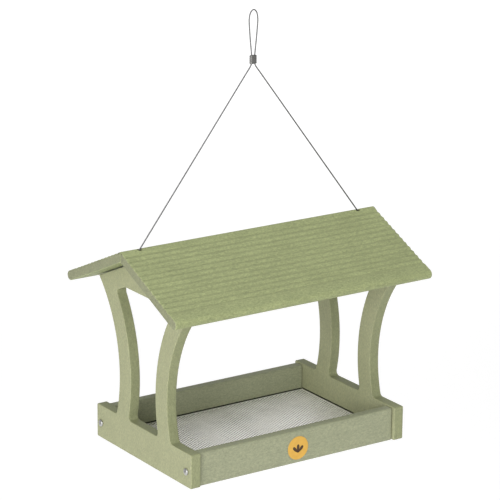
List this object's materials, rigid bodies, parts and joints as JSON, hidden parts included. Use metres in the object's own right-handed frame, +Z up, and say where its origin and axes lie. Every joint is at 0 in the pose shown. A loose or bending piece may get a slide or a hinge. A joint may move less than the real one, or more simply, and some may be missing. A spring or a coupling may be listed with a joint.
{
  "type": "hanging bird feeder",
  "caption": "Hanging fly-through bird feeder: curved-leg end frames, rail tray with lift-out mesh floor, grooved gable roof and wire-rope hanger with a loop.",
  "frame": {"origin": "inside top of the hanging loop, where a hook bears, over the feeder's centre of gravity", "axes": "+X along the roof ridge to the right as seen from the front, -Y out of the front, label side, +Z up"},
  "size_m": [0.4352, 0.2869, 0.632],
  "materials": {
    "green_board": "sage green recycled plastic lumber, matte with fine grain",
    "roof_board": "sage green recycled plastic lumber, milled grooves, matte",
    "screen_metal": "perforated aluminium sheet, satin",
    "stainless_screw": "stainless steel pan-head screws",
    "cable_ferrule": "crimped aluminium sleeve",
    "wire_rope": "twisted galvanised wire rope",
    "nylon_spacer": "natural nylon",
    "label": "orange printed vinyl, satin"
  },
  "bodies": {
    "hanger": {"cable_leg_left": "wire_rope", "cable_leg_right": "wire_rope", "cable_loop": "wire_rope", "ferrule": "cable_ferrule"},
    "feeder": {"anchor_screw_left": "stainless_screw", "anchor_screw_right": "stainless_screw", "anchor_spacer_left": "nylon_spacer", "anchor_spacer_right": "nylon_spacer", "batten_screw_left_front": "stainless_screw", "batten_screw_left_rear": "stainless_screw", "batten_screw_right_front": "stainless_screw", "batten_screw_right_rear": "stainless_screw", "cable_tail_left": "wire_rope", "cable_tail_right": "wire_rope", "cross_support": "green_board", "end_frame_left": "green_board", "end_frame_right": "green_board", "front_rail": "green_board", "ledger_front": "green_board", "ledger_left": "green_board", "ledger_rear": "green_board", "ledger_right": "green_board", "ledger_screw_front_left": "stainless_screw", "ledger_screw_front_right": "stainless_screw", "ledger_screw_left": "stainless_screw", "ledger_screw_rear_left": "stainless_screw", "ledger_screw_rear_right": "stainless_screw", "ledger_screw_right": "stainless_screw", "maker_label": "label", "rail_screw_left_front": "stainless_screw", "rail_screw_left_rear": "stainless_screw", "rail_screw_right_front": "stainless_screw", "rail_screw_right_rear": "stainless_screw", "rear_rail": "green_board", "ridge_batten": "green_board", "roof_panel_front": "roof_board", "roof_panel_rear": "roof_board", "roof_screw_front_left": "stainless_screw", "roof_screw_front_right": "stainless_screw", "roof_screw_rear_left": "stainless_screw", "roof_screw_rear_right": "stainless_screw", "tail_crimp_left": "cable_ferrule", "tail_crimp_right": "cable_ferrule", "tail_eye_left": "wire_rope", "tail_eye_right": "wire_rope"},
    "floor": {"floor_screen": "screen_metal"}
  },
  "joints": [
    {"name": "feeder_swing", "type": "hinge", "parent": "hanger", "child": "feeder", "pos_m": [0, 0, -0.317], "axis": [1, 0, 0], "range_deg": [-45, 45]},
    {"name": "floor_lift", "type": "slide", "parent": "feeder", "child": "floor", "axis": [0, 0, 1], "range_m": [0, 0.045]}
  ]
}
